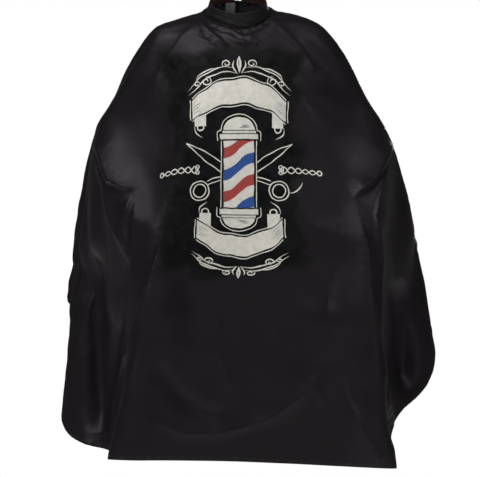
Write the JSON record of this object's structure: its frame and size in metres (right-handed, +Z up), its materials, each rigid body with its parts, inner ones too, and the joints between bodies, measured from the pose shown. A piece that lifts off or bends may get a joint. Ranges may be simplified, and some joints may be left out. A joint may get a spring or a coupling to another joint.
{
  "type": "barber cape",
  "caption": "Hairdressing cape of thin glossy black cloth hung from a neck band with a snap tab, draped as worn, with a printed pale emblem on the chest.",
  "frame": {"origin": "centre of the neck opening, where the cloth meets the neck band", "axes": "+Z up, -Y towards the front of the wearer, +X towards the wearer's left"},
  "size_m": [0.9554, 0.3847, 1.2196],
  "materials": {
    "cloth": "thin black polyester satin with a soft sheen",
    "print_ink": "matt heat-transfer print, off-white with red and blue",
    "thread": "black polyester sewing thread",
    "band_cloth": "black polyester satin, folded",
    "interlining": "pale non-woven stiffener",
    "snap_metal": "nickel-plated brass",
    "snap_cap": "black lacquered cap",
    "spring_wire": "phosphor bronze wire",
    "label": "black woven satin label, blank"
  },
  "bodies": {
    "cape": {"cape_cloth": "cloth", "band_lining": "band_cloth", "band_interlining": "interlining", "band_outer": "band_cloth", "band_topstitching": "thread", "tab_sewn_end": "band_cloth", "tab_anchor_stitches": "thread", "snap_studs": "snap_metal", "snap_stud_backs": "snap_cap"},
    "snap_tab": {"tab_lining": "band_cloth", "tab_interlining": "interlining", "tab_outer": "band_cloth", "tab_topstitching": "thread", "snap_sockets": "snap_metal", "socket_springs": "spring_wire", "snap_caps": "snap_cap"},
    "label": {"care_label": "label"}
  },
  "joints": [
    {"name": "hinge_tab", "type": "hinge", "parent": "cape", "child": "snap_tab", "pos_m": [0.0149, 0.0723, 0.04375], "axis": [0.0499, 0.724, -0.688], "range_deg": [0, 110]},
    {"name": "hinge_label", "type": "hinge", "parent": "cape", "child": "label", "pos_m": [-0.02, 0.0616, 0.035], "axis": [-1, 0, 0], "range_deg": [0, 60]}
  ]
}
